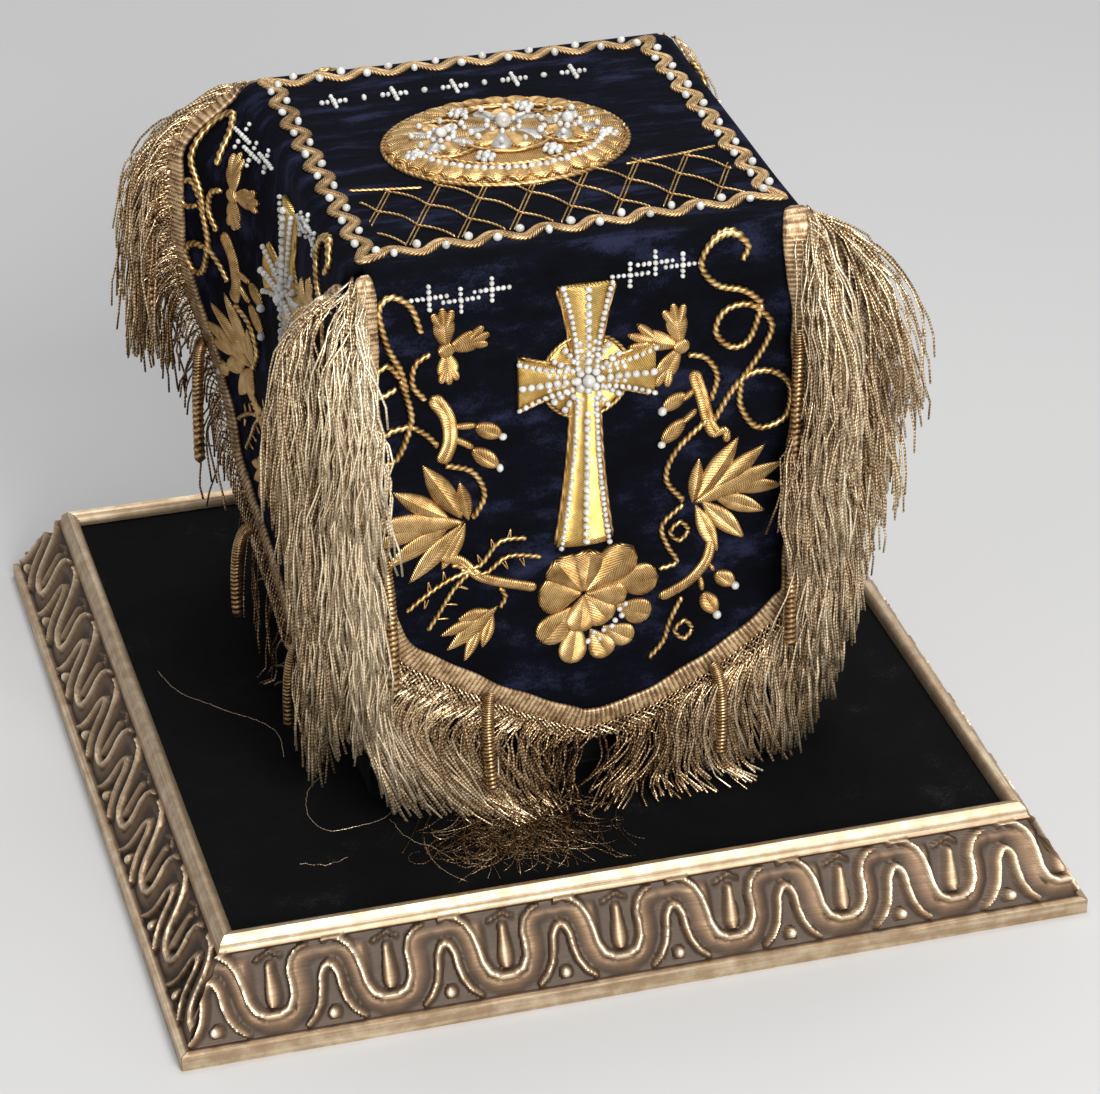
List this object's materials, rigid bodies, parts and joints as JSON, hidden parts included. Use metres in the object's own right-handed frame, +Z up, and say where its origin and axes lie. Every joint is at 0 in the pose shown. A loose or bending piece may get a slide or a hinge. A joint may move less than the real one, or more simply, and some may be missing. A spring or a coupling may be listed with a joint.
{
  "type": "embroidered chalice veil on a display block and framed base",
  "caption": "Cross-shaped velvet chalice veil with padded gold embroidery and a metal fringe, draped over a square block on a carved frame base.",
  "frame": {"origin": "middle of the base's underside, on the surface that the base stands on", "axes": "+Z up, -Y out of the front flap, +X to the right of the front flap as seen from the front"},
  "size_m": [0.302, 0.302, 0.2321],
  "materials": {
    "blue_velvet": "deep dark blue velvet pile, slightly crushed",
    "gold_thread": "laid metal thread over padding, satin gold",
    "metal_fringe": "twisted metal-thread strands, champagne gold, tarnished brown in places",
    "gilt_frame": "carved moulding with worn silver-gilt leaf and brown patina",
    "black_cloth": "matt black velvet covering"
  },
  "bodies": {
    "root": {"base_rail_front": "gilt_frame", "base_rail_right": "gilt_frame", "base_rail_back": "gilt_frame", "base_rail_left": "gilt_frame", "base_panel": "black_cloth", "display_block": "black_cloth", "veil_cloth": "blue_velvet", "top_braid": "gold_thread", "top_medallion": "gold_thread", "fringe_front": "metal_fringe", "cross_front": "gold_thread", "rosette_front": "gold_thread", "leaf_first_front": "gold_thread", "leaf_last_front": "gold_thread", "fringe_right": "metal_fringe", "cross_right": "gold_thread", "rosette_right": "gold_thread", "leaf_first_right": "gold_thread", "leaf_last_right": "gold_thread", "fringe_back": "metal_fringe", "cross_back": "gold_thread", "rosette_back": "gold_thread", "leaf_first_back": "gold_thread", "leaf_last_back": "gold_thread", "fringe_left": "metal_fringe", "cross_left": "gold_thread", "rosette_left": "gold_thread", "leaf_first_left": "gold_thread", "leaf_last_left": "gold_thread"}
  },
  "joints": []
}
